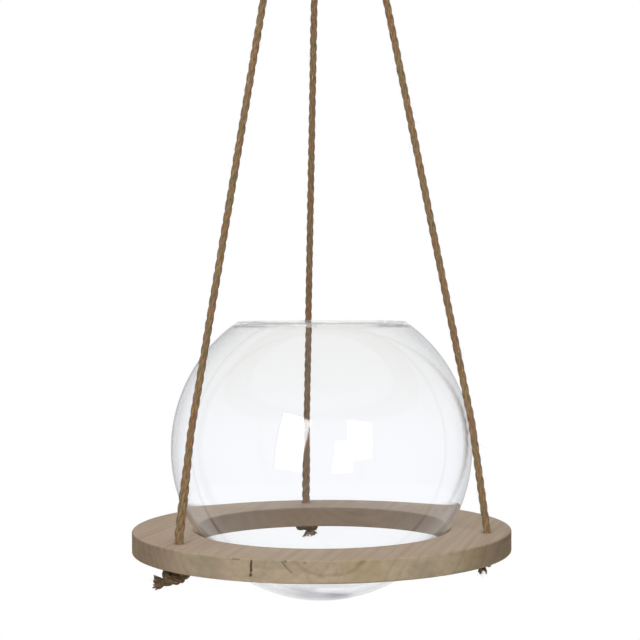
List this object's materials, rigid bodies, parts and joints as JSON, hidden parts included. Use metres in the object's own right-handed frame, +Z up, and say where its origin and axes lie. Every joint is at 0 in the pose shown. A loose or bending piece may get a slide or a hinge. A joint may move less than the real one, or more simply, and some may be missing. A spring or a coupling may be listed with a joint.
{
  "type": "hanging vase",
  "caption": "Clear round glass bowl vase seated in a flat wooden ring, hung on knotted jute ropes from a small steel ring.",
  "frame": {"origin": "where a ceiling hook bears, inside the steel ring at the top", "axes": "+Z up along the bowl's axis, +X to the right as the picture shows it, -Y towards the viewer; the swing axis runs along X"},
  "size_m": [0.25, 0.25, 0.674],
  "materials": {
    "steel": "satin",
    "twine": "jute twine",
    "rope": "twisted jute rope",
    "wood": "bare, oiled",
    "glass": "clear, polished"
  },
  "bodies": {
    "hanger": {"hanging_ring": "steel"},
    "sling": {"binding": "twine", "bight_left": "rope", "bight_right": "rope", "bight_back": "rope", "rope_left": "rope", "rope_right": "rope", "rope_back": "rope", "stopper_knot_left": "rope", "stopper_knot_right": "rope", "stopper_knot_back": "rope", "wooden_ring": "wood"},
    "bowl": {"glass_bowl": "glass"}
  },
  "joints": [
    {"name": "sling_swing", "type": "hinge", "parent": "hanger", "child": "sling", "pos_m": [0, 0, -0.032], "axis": [1, 0, 0], "range_deg": [-45, 45]},
    {"name": "bowl_turn", "type": "hinge", "parent": "sling", "child": "bowl", "pos_m": [0, 0, -0.57301], "axis": [0, 0, 1], "continuous": true}
  ]
}
